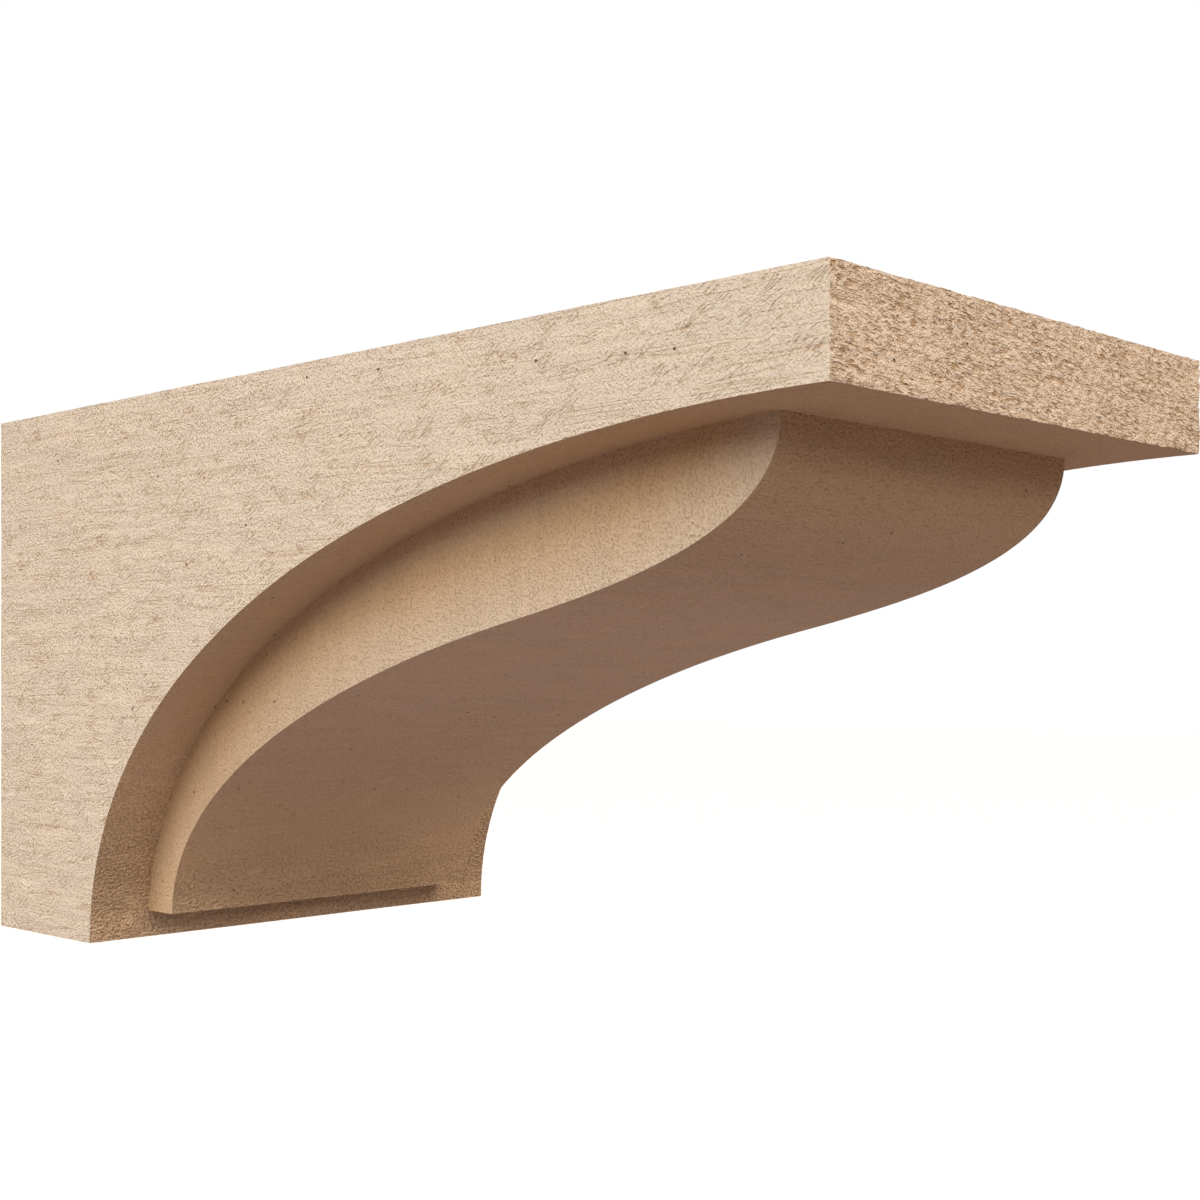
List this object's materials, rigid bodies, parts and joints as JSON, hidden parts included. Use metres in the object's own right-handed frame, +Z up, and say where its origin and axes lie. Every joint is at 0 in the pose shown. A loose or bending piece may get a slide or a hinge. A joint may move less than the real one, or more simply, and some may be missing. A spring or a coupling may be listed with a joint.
{
  "type": "block corbel",
  "caption": "Deep block corbel with a square slab edge, a full-width cove and a narrower ogee set inside it, in moulded faux wood with a sawn grain.",
  "frame": {"origin": "centre of the flat back face that stands against the wall", "axes": "+Z up; +Y out of the back face, into the wall, so the front slab edge faces -Y; X across the width"},
  "size_m": [0.3048, 0.6096, 0.3048],
  "materials": {
    "primed_faux_wood": "matt tan primer on moulded polyurethane with a sawn-cedar grain relief"
  },
  "bodies": {
    "root": {"corbel": "primed_faux_wood"}
  },
  "joints": []
}
